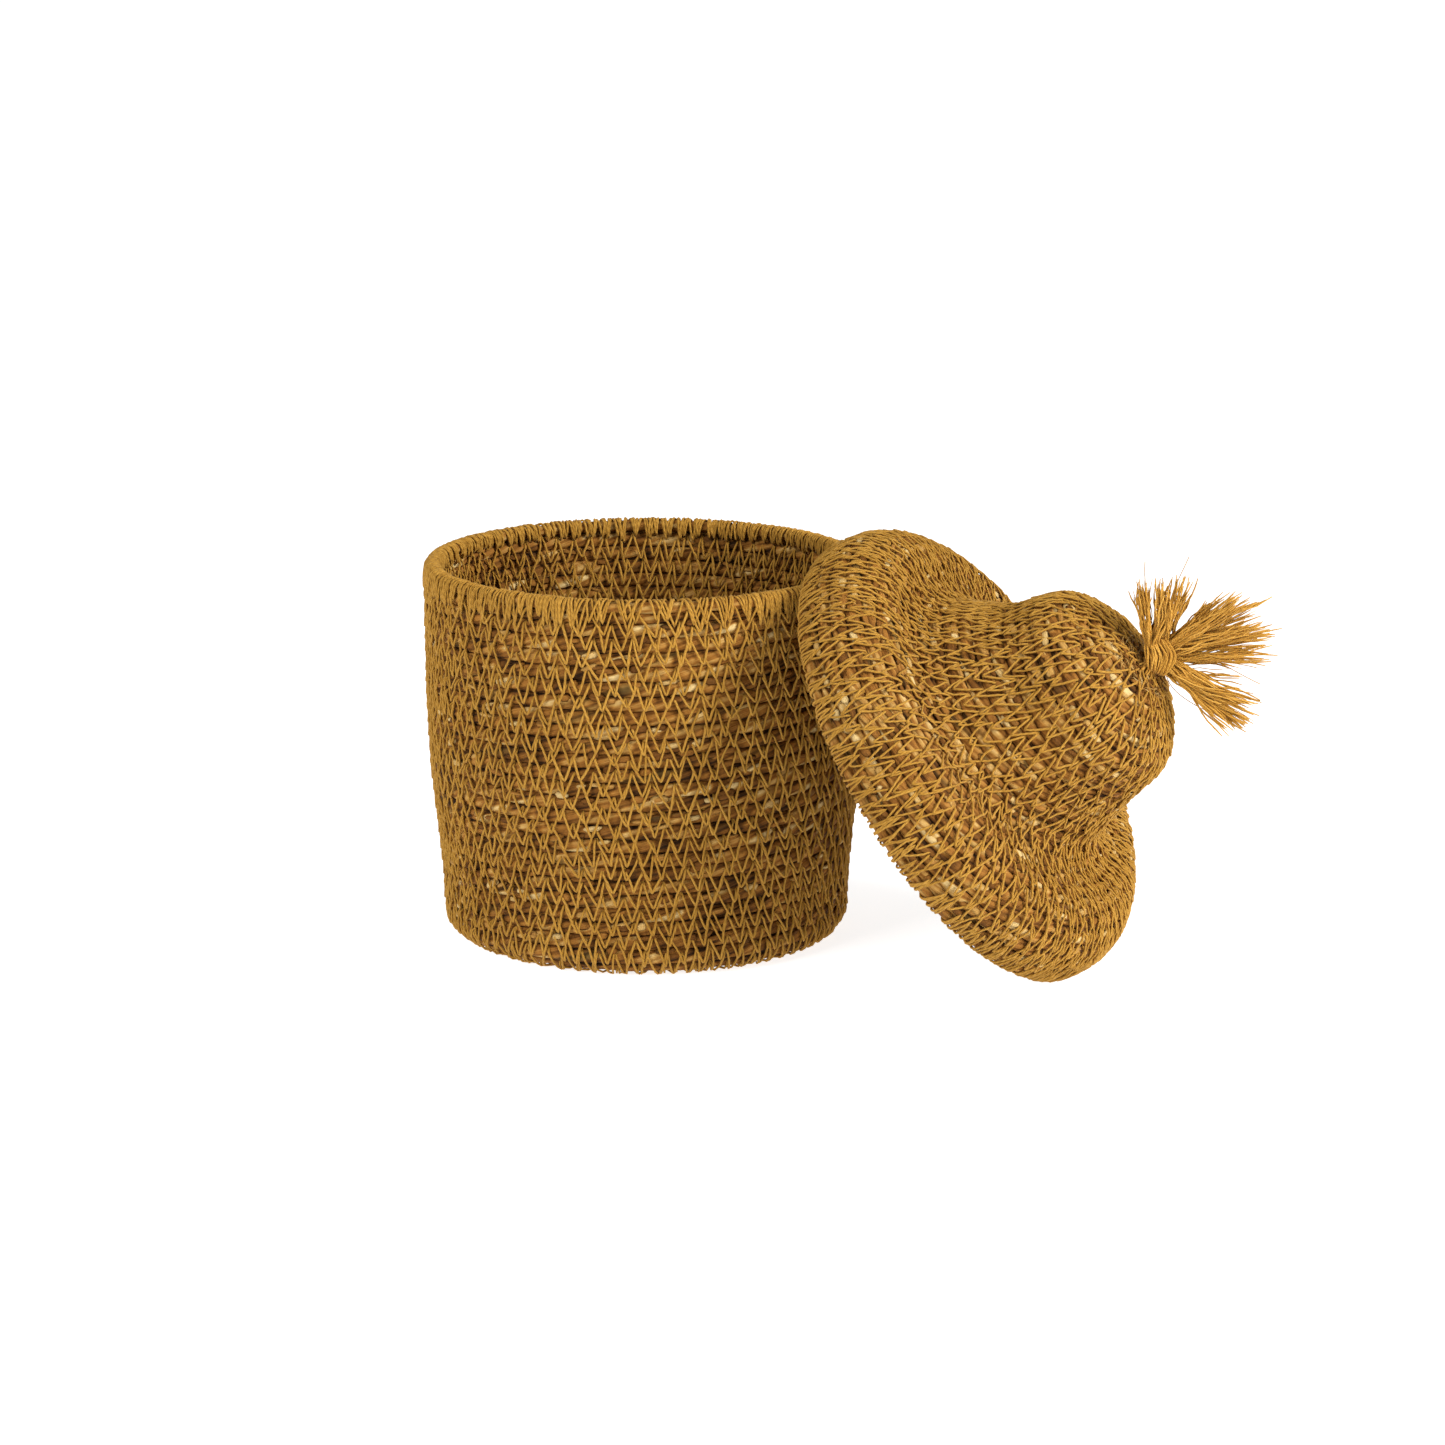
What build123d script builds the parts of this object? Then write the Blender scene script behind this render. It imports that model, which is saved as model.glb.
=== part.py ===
from build123d import *
import math
import os

# Lidded coiled seagrass basket, in millimetres, +Z up.
# Origin: centre of the underside, where the basket stands on the floor.
# The lid is off and leans on the rim at +X -Y, with its edge on the floor.

os.makedirs("parts", exist_ok=True)

# Coiled rope
coil_thickness = 5.2
groove_thickness = 3.9       # at the stitched joint between two courses
course_pitch = 5.2
rim_thickness = 5.6          # rim course with its binding
thread_thickness = 0.6

# Basket
basket_height = 137.6
rim_radius = 80.0
belly_radius = 79.1          # halfway up the wall
foot_radius = 74.2
heel_radius = 7.9            # outer corner between floor and wall

# Lid, measured along its own axis from the edge of the skirt
lid_radius = 87.1
skirt_height = 9.2
shoulder_radius = 19.2
knob_radius = 38.3
knob_height = 59.6           # level of the knob's widest course
crown_height = 84.7
neck_radius = 45.4           # middle of the coil where the knob leaves the brim
neck_height = 33.0
waist_radius = 37.3          # where the neck hands over to the knob
waist_height = 52.0
crown_hole_radius = 1.7
neck_lean = (-0.35, 0, 1)    # direction of the neck where it leaves the brim
waist_lean = (-0.3, 0, 1)    # and at the waist
# Middle of the coil, as (radius, height), between the ends named above
brim_points = [(58.9, 25.4), (51.0, 27.4)]
neck_points = [(40.95, 42.5)]
dome_points = [(33.1, 68.4), (25.4, 75.2), (13.5, 80.6)]
knob_sag = 3.1               # how far the soft crown hangs towards the floor
knob_drift = -1.1            # and to one side

# Leaning place of the lid
lid_centre_x = 108.9
lid_centre_y = -45.7
lid_tilt = 56.5              # degrees between the lid's axis and +Z
lid_azimuth = -22.3          # degrees from +X, seen from above

# Tassel
head_radius = 5.0
head_gap = 0.4               # between the crown and the head
cord_radius = 1.4
knot_radius = 5.0
cord_inside = 1.0            # how far the cord reaches below the crown's underside
cord_outside = 0.1           # and above its top
tuft_root_radius = 1.0
tuft_tip_rounding = 0.45     # share of the tip's radius
tuft_lengths = {"upper": 33.0, "middle": 41.0, "lower": 43.0}
tuft_tip_radii = {"upper": 6.5, "middle": 8.5, "lower": 6.5}
tuft_directions = {
    "upper": (-0.04, -0.25, 1.0),
    "middle": (0.95, -0.22, 0.32),
    "lower": (0.86, -0.12, -0.42),
}

half = coil_thickness / 2
rim_r = rim_thickness / 2
from_base = (Align.CENTER, Align.CENTER, Align.MIN)


def joint_points(path, fraction, width):
    """Ends of the stitched joint across the coil at a fraction of the path."""
    middle = path.position_at(fraction)
    along = path.tangent_at(fraction)
    across = Vector(along.Z, 0, -along.X) * (width / 2)
    return middle + across, middle - across


def coil_band(path, courses, flat_under=False, start=None, end=None):
    """Courses of coil laid side by side along a meridian and revolved about Z."""
    outer = []
    inner = []
    joints = [joint_points(path, i / courses, groove_thickness) for i in range(courses + 1)]
    if start:
        joints[0] = start
    if end:
        joints[-1] = end
    for i in range(courses):
        crest_out, crest_in = joint_points(path, (i + 0.5) / courses, coil_thickness)
        outer.append(ThreePointArc(joints[i][0], crest_out, joints[i + 1][0]))
        inner.append(ThreePointArc(joints[i][1], crest_in, joints[i + 1][1]))
    first = [joints[0][0], joints[0][1]]
    last = [joints[-1][0], joints[-1][1]]
    if flat_under:
        first[0] = Vector(first[0].X, 0, 0)
        last[0] = Vector(last[0].X, 0, 0)
        outer = [Line(first[0], last[0])]
    edges = outer + inner + [Line(first[0], first[1]), Line(last[0], last[1])]
    face = Face(Wire(edges))
    return revolve(face, Axis.Z, 360)


def ring(radius, height, outer, inner=0.0):
    """Coil ring of round section, or a sleeve round one when inner is given."""
    section = Plane.XZ * Pos(radius, height) * Circle(outer)
    if inner:
        section -= Plane.XZ * Pos(radius, height) * Circle(inner)
    return revolve(section, Axis.Z, 360)


def at(radius, height):
    """Point of a meridian."""
    return Vector(radius, 0, height)


def courses_on(path):
    """Number of courses that a meridian holds."""
    return round(path.length / course_pitch)


# Basket meridians, along the middle of the coil
heel_middle = heel_radius - half
floor_end = foot_radius - heel_radius
floor_path = Line(at(0, half), at(floor_end, half))
heel_mid = heel_middle * math.sqrt(0.5)
heel_path = ThreePointArc(
    at(floor_end, half),
    at(floor_end + heel_mid, heel_radius - heel_mid),
    at(foot_radius - half, heel_radius),
)
wall_top = basket_height - rim_thickness
wall_path = Spline(
    at(foot_radius - half, heel_radius),
    at(belly_radius - half, basket_height / 2),
    at(rim_radius - half, wall_top),
    tangents=[(0, 0, 1), (0, 0, 1)],
)

nodes = {}
nodes["base_coil"] = coil_band(floor_path, courses_on(floor_path), flat_under=True)
nodes["heel_coil"] = coil_band(heel_path, courses_on(heel_path))
nodes["wall_coil"] = coil_band(wall_path, courses_on(wall_path))
nodes["rim_coil"] = ring(rim_radius - rim_r, basket_height - rim_r, rim_r - thread_thickness)
nodes["rim_binding"] = ring(rim_radius - rim_r, basket_height - rim_r, rim_r, rim_r - thread_thickness)

# Lid meridians, in the lid's own frame: edge at height 0, knob upwards
shoulder_middle = shoulder_radius - half
shoulder_mid = shoulder_middle * math.sqrt(0.5)
crest_radius = lid_radius - shoulder_radius
crest_height = skirt_height + shoulder_middle
skirt_path = Line(at(lid_radius - half, rim_thickness), at(lid_radius - half, skirt_height))
shoulder_path = ThreePointArc(
    at(lid_radius - half, skirt_height),
    at(crest_radius + shoulder_mid, skirt_height + shoulder_mid),
    at(crest_radius, crest_height),
)
brim_path = Spline(
    at(crest_radius, crest_height),
    *[at(*point) for point in brim_points],
    at(neck_radius, neck_height),
    tangents=[(-1, 0, 0), neck_lean],
)
neck_path = Spline(
    at(neck_radius, neck_height),
    *[at(*point) for point in neck_points],
    at(waist_radius, waist_height),
    tangents=[neck_lean, waist_lean],
)
knob_path = Spline(
    at(waist_radius, waist_height),
    at(knob_radius - half, knob_height),
    *[at(*point) for point in dome_points],
    at(crown_hole_radius, crown_height - half),
    tangents=[waist_lean, (-1, 0, 0)],
)
neck_joint = (at(neck_radius + half, neck_height), at(neck_radius - half, neck_height))
waist_joint = (at(waist_radius + half, waist_height), at(waist_radius - half, waist_height))

lid = {}
lid["lid_edge_coil"] = ring(lid_radius - rim_r, rim_r, rim_r - thread_thickness)
lid["lid_edge_binding"] = ring(lid_radius - rim_r, rim_r, rim_r, rim_r - thread_thickness)
lid["lid_skirt_coil"] = coil_band(skirt_path, courses_on(skirt_path))
lid["lid_shoulder_coil"] = coil_band(shoulder_path, courses_on(shoulder_path))
lid["lid_brim_coil"] = coil_band(brim_path, courses_on(brim_path), end=neck_joint)
neck = coil_band(neck_path, courses_on(neck_path), start=neck_joint, end=waist_joint)
knob = coil_band(knob_path, courses_on(knob_path), start=waist_joint)

# The soft crown sags: the neck slants to one side and carries the knob with it
slant = (knob_sag / (waist_height - neck_height), knob_drift / (waist_height - neck_height))
lid["lid_neck_coil"] = neck.transform_geometry(Matrix([
    [1, 0, slant[0], -slant[0] * neck_height],
    [0, 1, slant[1], -slant[1] * neck_height],
    [0, 0, 1, 0],
]))
knob_axis = Pos(knob_sag, knob_drift, 0)
lid["lid_knob_coil"] = knob_axis * knob

# Cord through the crown, with the knot that holds it inside the knob
crown_inside = crown_height - coil_thickness
cord_foot = crown_inside - cord_inside
cord_length = crown_height + cord_outside - cord_foot
knot_drop = math.sqrt(knot_radius ** 2 - cord_radius ** 2)
cord = knob_axis * Pos(0, 0, cord_foot) * Cylinder(cord_radius, cord_length, align=from_base)
lid["tassel_cord"] = cord
lid["tassel_knot"] = knob_axis * Pos(0, 0, cord_foot - knot_drop) * Sphere(knot_radius) - cord

# Leaning place: the lowest point of the edge ring touches the floor
tilt = math.radians(lid_tilt)
azimuth = math.radians(lid_azimuth)
lid_centre_z = (lid_radius - rim_r) * math.sin(tilt) + rim_r * (1 - math.cos(tilt))
level = Vector(math.cos(azimuth), math.sin(azimuth), 0)
lid_axis = level * math.sin(tilt) + Vector(0, 0, math.cos(tilt))
down_slope = level * math.cos(tilt) - Vector(0, 0, math.sin(tilt))
lid_place = Plane(origin=(lid_centre_x, lid_centre_y, lid_centre_z), x_dir=down_slope, z_dir=lid_axis)
for name, solid in lid.items():
    nodes[name] = lid_place.location * solid

# Tassel: a round head of yarn loops above the crown, and three tufts
pivot = lid_place.from_local_coords(Vector(knob_sag, knob_drift, crown_height + head_gap + head_radius))
head = Pos(pivot) * Sphere(head_radius)
nodes["tassel_head"] = head
for name, direction in tuft_directions.items():
    length = tuft_lengths[name]
    tip_radius = tuft_tip_radii[name]
    tuft = Cone(tuft_root_radius, tip_radius, length, align=from_base)
    tuft = fillet(tuft.edges().group_by(Axis.Z)[-1], tip_radius * tuft_tip_rounding)
    place = Plane(origin=pivot, z_dir=Vector(*direction))
    nodes["tassel_tuft_" + name] = place.location * tuft - head

for name, solid in nodes.items():
    solid.label = name
    export_step(solid, f"parts/{name}.step")
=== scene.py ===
import math
import bpy
import numpy as np
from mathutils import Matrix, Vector


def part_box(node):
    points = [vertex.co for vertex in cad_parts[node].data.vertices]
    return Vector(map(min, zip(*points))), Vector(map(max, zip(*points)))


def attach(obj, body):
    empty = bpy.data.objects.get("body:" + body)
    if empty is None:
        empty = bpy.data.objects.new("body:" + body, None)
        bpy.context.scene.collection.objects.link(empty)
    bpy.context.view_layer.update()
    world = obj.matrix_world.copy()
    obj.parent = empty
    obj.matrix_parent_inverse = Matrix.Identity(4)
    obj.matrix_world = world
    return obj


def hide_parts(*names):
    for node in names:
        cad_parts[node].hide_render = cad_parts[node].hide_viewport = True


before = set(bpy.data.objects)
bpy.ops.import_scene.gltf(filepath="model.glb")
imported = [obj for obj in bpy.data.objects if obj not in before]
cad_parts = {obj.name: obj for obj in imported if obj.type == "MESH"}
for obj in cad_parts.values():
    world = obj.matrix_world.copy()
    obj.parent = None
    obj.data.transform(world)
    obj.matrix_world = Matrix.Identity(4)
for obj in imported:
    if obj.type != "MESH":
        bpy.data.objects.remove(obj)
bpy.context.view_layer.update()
mm = 0.001
mostTriangles = 190000   # a longer coil or thread is laid in parts


def curveThrough(points, startWay, endWay, steps=40):
    # a cubic through the points; inside tangents are the chord-weighted mean of the two spans' slopes
    p = np.array(points, float)
    chord = np.hypot(*np.diff(p, axis=0).T)
    slope = np.diff(p, axis=0) / chord[:, None]
    way = np.empty_like(p)
    weighted = slope[:-1] * chord[1:, None] + slope[1:] * chord[:-1, None]
    way[1:-1] = weighted / (chord[1:] + chord[:-1])[:, None]
    way[0] = np.array(startWay) / np.hypot(*startWay)
    way[-1] = np.array(endWay) / np.hypot(*endWay)
    t = np.linspace(0, 1, steps)[None, :, None]
    a, b, c = p[:-1, None], p[1:, None], chord[:, None, None]
    rise = t * t * (3 - 2 * t)
    out = a + (b - a) * rise + way[:-1, None] * c * t * (1 - t) ** 2 - way[1:, None] * c * t * t * (1 - t)
    return out.reshape(-1, 2)


def arcPoints(centre, radius, fromDeg, toDeg, steps=24):
    # points of a circle arc, angle from the outward direction towards up
    a = np.radians(np.linspace(fromDeg, toDeg, steps))
    return np.array(centre) + radius * np.stack([np.cos(a), np.sin(a)], 1)


def meridian(*stretches):
    # joins stretches of (radius, height) points, in millimetres, and measures the length along them
    p = np.vstack(stretches) * mm
    keep = np.r_[True, np.hypot(*np.diff(p, axis=0).T) > 1e-7]
    p = p[keep]
    s = np.r_[0, np.cumsum(np.hypot(*np.diff(p, axis=0).T))]
    even = np.linspace(0, s[-1], 900)
    p = np.stack([np.interp(even, s, p[:, k]) for k in (0, 1)], 1)
    way = np.gradient(p, even, axis=0)
    way /= np.hypot(*way.T)[:, None]
    return {"s": even, "p": p, "way": way, "length": even[-1]}


def onMeridian(line, s):
    # place and direction on the meridian at length s, carried straight on past either end
    inside = np.clip(s, 0, line["length"])
    place = np.stack([np.interp(inside, line["s"], line["p"][:, k]) for k in (0, 1)], -1)
    way = np.stack([np.interp(inside, line["s"], line["way"][:, k]) for k in (0, 1)], -1)
    way = way / np.linalg.norm(way, axis=-1, keepdims=True)
    return place + way * (s - inside)[..., None], way


def turned(place, phi):
    # a (radius, height) point turned about the axis by phi
    return np.stack([place[..., 0] * np.cos(phi), place[..., 0] * np.sin(phi), place[..., 1]], -1)


def tableNoise(x, row=0, seed=0):
    # smooth random values from 0 to 1 along x, one table row for each whole number row
    table = np.random.default_rng(seed).random((16, 4096))
    whole = np.floor(x).astype(int)
    f = x - whole
    f = f * f * (3 - 2 * f)
    row = np.asarray(row).astype(int) % 16
    return table[row, whole % 4096] * (1 - f) + table[row, (whole + 1) % 4096] * f


def sweep(path, up, radius, around):
    # round section carried along paths (tubes, rings, xyz); up is roughly across the path
    way = np.gradient(path, axis=-2)
    way /= np.linalg.norm(way, axis=-1, keepdims=True) + 1e-12
    side = np.cross(way, up)
    side /= np.linalg.norm(side, axis=-1, keepdims=True) + 1e-12
    top = np.cross(side, way)
    a = np.arange(around) * 2 * math.pi / around
    radius = np.broadcast_to(radius, path.shape[:-1])[..., None, None]
    ring = np.cos(a)[:, None] * top[..., None, :] + np.sin(a)[:, None] * side[..., None, :]
    return path[..., None, :] + radius * ring


def addPiece(name, grid, body, material, along=None, twist=None, tone=None, replaces=()):
    # grid is (tubes, rings, round, xyz): each ring closes on itself and the end rings are capped
    tubes, rings, around = grid.shape[:3]
    first = np.arange(tubes)[:, None, None] * rings * around
    i = np.arange(rings - 1)[None, :, None] * around
    j = np.arange(around)[None, None, :]
    k = (j + 1) % around
    quads = np.stack([first + i + j, first + i + around + j, first + i + around + k, first + i + k], -1)
    flat = grid.reshape(-1, 3)
    q = flat[quads.reshape(-1, 4)]
    # six times the signed volume, negative if the faces look inwards
    normal = np.cross(q[:, 1] - q[:, 0], q[:, 2] - q[:, 0])
    inside = np.einsum("ij,ij->i", q[:, 0] - q[0, 0], normal).sum()
    foot = first[:, 0, 0][:, None]
    ends = np.stack([foot + j[0], foot + (rings - 1) * around + j[0, :, ::-1]], 1)
    if inside < 0:
        quads, ends = quads[..., ::-1], ends[..., ::-1]
    corners = np.concatenate([quads.ravel(), ends.ravel()])
    starts = np.concatenate([np.arange(quads.size // 4) * 4, quads.size + np.arange(tubes * 2) * around])
    mesh = bpy.data.meshes.new(name)
    mesh.vertices.add(len(flat))
    mesh.vertices.foreach_set("co", flat.astype(np.float32).ravel())
    mesh.loops.add(len(corners))
    mesh.loops.foreach_set("vertex_index", corners.astype(np.int32))
    mesh.polygons.add(len(starts))
    mesh.polygons.foreach_set("loop_start", starts.astype(np.int32))
    mesh.update(calc_edges=True)
    mesh.polygons.foreach_set("use_smooth", np.ones(len(starts), bool))
    # the map runs along the piece in metres and round it in turns, less the twist
    along = np.zeros((tubes, rings)) if along is None else np.broadcast_to(along, (tubes, rings))
    twist = np.zeros((tubes, rings)) if twist is None else np.broadcast_to(twist, (tubes, rings))
    ringOf = corners // around
    turn = (corners % around) / around
    wrap = np.zeros(len(corners))
    body4 = quads.size
    sector = np.broadcast_to(j / around, quads.shape[:-1]).ravel()
    turn4 = turn[:body4].reshape(-1, 4)
    wrap4 = (turn4 < sector[:, None] - 1e-6).astype(float)
    wrap[:body4] = wrap4.ravel()
    uv = np.stack([along.ravel()[ringOf], turn + wrap - twist.ravel()[ringOf]], 1)
    layer = mesh.uv_layers.new(name="lay")
    layer.data.foreach_set("uv", uv.astype(np.float32).ravel())
    shade = mesh.attributes.new("tone", "FLOAT", "POINT")
    value = np.full(len(flat), 0.5) if tone is None else np.broadcast_to(tone, grid.shape[:3]).ravel()
    shade.data.foreach_set("value", value.astype(np.float32))
    mesh.materials.append(material)
    piece = bpy.data.objects.new(name, mesh)
    bpy.context.scene.collection.objects.link(piece)
    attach(piece, body)
    if replaces:
        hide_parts(*replaces)
    print("made", name, "with", int(quads.size // 2 + tubes * (around - 2) * 2), "triangles")


def newMaterial(name, roughness, sheen):
    # a dull fibre with a warm, faint sheen
    material = bpy.data.materials.new(name)
    material.use_nodes = True
    nodes, links = material.node_tree.nodes, material.node_tree.links
    shader = nodes["Principled BSDF"]
    shader.inputs["Roughness"].default_value = roughness
    shader.inputs["Sheen Weight"].default_value = sheen
    shader.inputs["Sheen Roughness"].default_value = 0.5
    shader.inputs["Sheen Tint"].default_value = (1.0, 0.8, 0.5, 1)
    shader.inputs["Specular IOR Level"].default_value = 0.16
    return material, nodes, links, shader


def mapped(nodes, links, scale):
    # the piece's own map, stretched
    uv = nodes.new("ShaderNodeUVMap")
    uv.uv_map = "lay"
    mapping = nodes.new("ShaderNodeMapping")
    mapping.inputs["Scale"].default_value = scale
    links.new(uv.outputs["UV"], mapping.inputs["Vector"])
    return mapping.outputs["Vector"]


def noiseOn(nodes, links, vector, scale, detail=2.0, rough=0.5):
    # noise from 0 to 1 on a vector socket
    noise = nodes.new("ShaderNodeTexNoise")
    noise.inputs["Scale"].default_value = scale
    noise.inputs["Detail"].default_value = detail
    noise.inputs["Roughness"].default_value = rough
    links.new(vector, noise.inputs["Vector"])
    return noise.outputs["Fac"]


def mixed(nodes, links, kind, a, b, amount=None):
    # arithmetic on two sockets or numbers
    node = nodes.new("ShaderNodeMath")
    node.operation = kind
    for k, value in enumerate((a, b, amount)):
        if value is None:
            continue
        if isinstance(value, (int, float)):
            node.inputs[k].default_value = value
        else:
            links.new(value, node.inputs[k])
    return node.outputs[0]


def ramp(nodes, links, fac, stops):
    # colour by value, blended evenly between its stops
    node = nodes.new("ShaderNodeValToRGB")
    while len(node.color_ramp.elements) < len(stops):
        node.color_ramp.elements.new(0.5)
    for element, (place, colour) in zip(node.color_ramp.elements, stops):
        element.position = place
        element.color = (*colour, 1)
    links.new(fac, node.inputs["Fac"])
    return node.outputs["Color"]


def bumped(nodes, links, shader, height, strength, distance):
    # fine relief in the shading only
    bump = nodes.new("ShaderNodeBump")
    bump.inputs["Strength"].default_value = strength
    bump.inputs["Distance"].default_value = distance
    links.new(height, bump.inputs["Height"])
    links.new(bump.outputs["Normal"], shader.inputs["Normal"])


seagrass = {
    "dark": (0.028, 0.010, 0.001), "brown": (0.17, 0.063, 0.008), "orange": (0.35, 0.145, 0.022),
    "straw": (0.52, 0.295, 0.075), "pale": (0.70, 0.50, 0.21), "olive": (0.17, 0.098, 0.022),
    "fibre": (90.0, 60.0, 1), "patch": (45.0, 5.0, 1), "which": (28.0, 3.0, 1), "oliveShare": 0.27,
}


def seagrassMaterial(name):
    # dried leaf: fine fibres along the twist, each leaf its own tone, a few olive ones
    material, nodes, links, shader = newMaterial(name, 0.7, 0.0)
    tone = nodes.new("ShaderNodeAttribute")
    tone.attribute_name = "tone"
    fibre = noiseOn(nodes, links, mapped(nodes, links, seagrass["fibre"]), 1.0, 3.0, 0.6)
    broad = noiseOn(nodes, links, mapped(nodes, links, seagrass["patch"]), 1.0, 1.0)
    grain = mixed(nodes, links, "MULTIPLY_ADD", fibre, 0.55, -0.275)
    patch = mixed(nodes, links, "MULTIPLY_ADD", broad, 0.35, -0.175)
    value = mixed(nodes, links, "ADD", mixed(nodes, links, "ADD", tone.outputs["Fac"], grain), patch)
    warm = ramp(nodes, links, value, [(0.10, seagrass["dark"]), (0.34, seagrass["brown"]),
                                      (0.58, seagrass["orange"]), (0.80, seagrass["straw"]),
                                      (1.0, seagrass["pale"])])
    cool = ramp(nodes, links, value, [(0.12, seagrass["dark"]), (0.62, seagrass["olive"]),
                                      (1.0, seagrass["straw"])])
    which = noiseOn(nodes, links, mapped(nodes, links, seagrass["which"]), 1.0, 0.0)
    pick = nodes.new("ShaderNodeMapRange")
    pick.inputs["From Min"].default_value = 1 - seagrass["oliveShare"] - 0.1
    pick.inputs["From Max"].default_value = 1 - seagrass["oliveShare"] + 0.1
    links.new(which, pick.inputs["Value"])
    mix = nodes.new("ShaderNodeMix")
    mix.data_type = "RGBA"
    links.new(pick.outputs["Result"], mix.inputs["Factor"])
    links.new(warm, mix.inputs["A"])
    links.new(cool, mix.inputs["B"])
    links.new(mix.outputs["Result"], shader.inputs["Base Color"])
    bumped(nodes, links, shader, fibre, 0.9, 0.0005)
    return material


thread = {"shade": (0.21, 0.095, 0.010), "body": (0.345, 0.168, 0.019), "light": (0.49, 0.265, 0.044)}


def threadMaterial(name, colours, plyTurns, plyLength):
    # two plies twisted together: slanting bands round the thread, with soft fuzz between; the colour is
    # darker along the lines where the plies meet, which is painted shade
    material, nodes, links, shader = newMaterial(name, 0.8, 0.12)
    tone = nodes.new("ShaderNodeAttribute")
    tone.attribute_name = "tone"
    fuzz = noiseOn(nodes, links, mapped(nodes, links, (900.0, 4.0, 1)), 1.0, 2.0)
    uv = nodes.new("ShaderNodeUVMap")
    uv.uv_map = "lay"
    split = nodes.new("ShaderNodeSeparateXYZ")
    links.new(uv.outputs["UV"], split.inputs["Vector"])
    slant = mixed(nodes, links, "MULTIPLY_ADD", split.outputs["X"], 1 / plyLength,
                  mixed(nodes, links, "MULTIPLY", split.outputs["Y"], float(plyTurns)))
    wave = mixed(nodes, links, "SINE", mixed(nodes, links, "MULTIPLY", slant, math.pi), 0.0)
    ply = mixed(nodes, links, "ABSOLUTE", wave, 0.0)
    fuzzTone = mixed(nodes, links, "MULTIPLY_ADD", fuzz, 0.3, -0.3)
    # painted shade: the ply bands darken the colour where the plies meet
    value = mixed(nodes, links, "MULTIPLY_ADD", ply, 0.3, fuzzTone)
    value = mixed(nodes, links, "ADD", tone.outputs["Fac"], value)
    stops = [(0.05, colours["shade"]), (0.5, colours["body"]), (0.95, colours["light"])]
    links.new(ramp(nodes, links, value, stops), shader.inputs["Base Color"])
    bumped(nodes, links, shader, mixed(nodes, links, "MULTIPLY_ADD", fuzz, 0.3, ply), 0.5, 0.0002)
    return material


coilMaterial = seagrassMaterial("driedSeagrass")
stitchMaterial = threadMaterial("ochreThread", thread, 2, 0.0022)
print("materials ready")


def coilPath(line, sFrom, sTo, pitch, step):
    # one spiral that fills the meridian from sFrom to sTo and tapers out over its first and last turn
    turns = (sTo - sFrom) / pitch + 1
    phi = np.linspace(0, turns * 2 * math.pi, int(turns * 240))
    low = np.clip(sFrom + pitch * (phi / (2 * math.pi) - 1), sFrom, sTo)
    high = np.clip(sFrom + pitch * phi / (2 * math.pi), sFrom, sTo)
    middle = (low + high) / 2
    radius = np.maximum(onMeridian(line, middle)[0][:, 0], 0.002)
    run = np.r_[0, np.cumsum((radius[1:] + radius[:-1]) / 2 * np.diff(phi))]
    even = np.linspace(0, run[-1], int(run[-1] / step))
    return {"phi": np.interp(even, run, phi), "middle": np.interp(even, run, middle),
            "halfWidth": np.interp(even, run, (high - low) / 2), "run": even,
            "pitch": pitch, "from": sFrom, "to": sTo}


def ropeGrid(line, path, rope, seed):
    # twisted leaf bundles: the mesh columns follow the twist, so a crease stays between the same bundles
    across = np.array(rope["across"])
    bundles = rope["bundles"]
    which = np.repeat(np.arange(bundles), len(across))[None, :]
    inBundle = np.tile(across, bundles)[None, :]
    run = path["run"][:, None]
    angle = 2 * math.pi * ((which + inBundle) / bundles + run / rope["twistLength"])
    bulge = np.sin(math.pi * inBundle) ** 0.5 * np.ones_like(run)
    # each bundle is a chain of leaves; every leaf has its own thickness and tone
    drift = rope["drift"] * tableNoise(run / rope["driftLength"], which, seed)
    chain = run / rope["leaf"] + which * 0.37 + drift
    leaf = np.floor(chain)
    fat = tableNoise(leaf, which, seed + 1)
    lump = tableNoise(run / rope["lumpLength"] + which * 3.7, which, seed + 2)
    c, s = np.cos(angle), np.sin(angle)
    relief = 1 - rope["crease"] * (1 - bulge) * (1 - 0.8 * s * s)
    relief = relief - rope["wander"] * fat - rope["lumps"] * lump
    # the stitches bite into the rope and leave it in short beads
    bite = tableNoise(run / rope["biteLength"] + 0.25 * which, 0, seed + 5) ** 1.5
    relief = relief - 0.05 * (chain - leaf) - rope["pinch"] * bite
    out = np.sign(c) * np.abs(c) ** 1.05 * rope["half"] * relief
    side = np.sign(s) * np.abs(s) ** 0.9 * path["halfWidth"][:, None]
    side = side * (rope["overlap"] - 0.05 * (1 - bulge))
    taper = np.clip(path["halfWidth"] / (0.35 * path["pitch"]), 0.02, 1)[:, None]
    place, way = onMeridian(line, path["middle"])
    normal = np.stack([way[:, 1], -way[:, 0]], 1)
    flat = place[:, None] + way[:, None] * side[..., None] + normal[:, None] * (out * taper)[..., None]
    flat[..., 0] = np.maximum(flat[..., 0], 0.0003)
    tone = 0.38 + 0.42 * tableNoise(leaf, which, seed + 3) ** 1.3 + 0.10 * lump
    tone = tone + 0.34 * (tableNoise(leaf, which, seed + 4) > 0.9)
    # painted shade: the rope's colour is darker in the creases between bundles, on the flanks that meet the
    # next course and in the dips where the stitches pinch it
    tone = tone - 0.22 * (1 - bulge) - 0.34 * s ** 6 - 0.26 * bite
    return turned(flat, path["phi"][:, None]), tone


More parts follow.
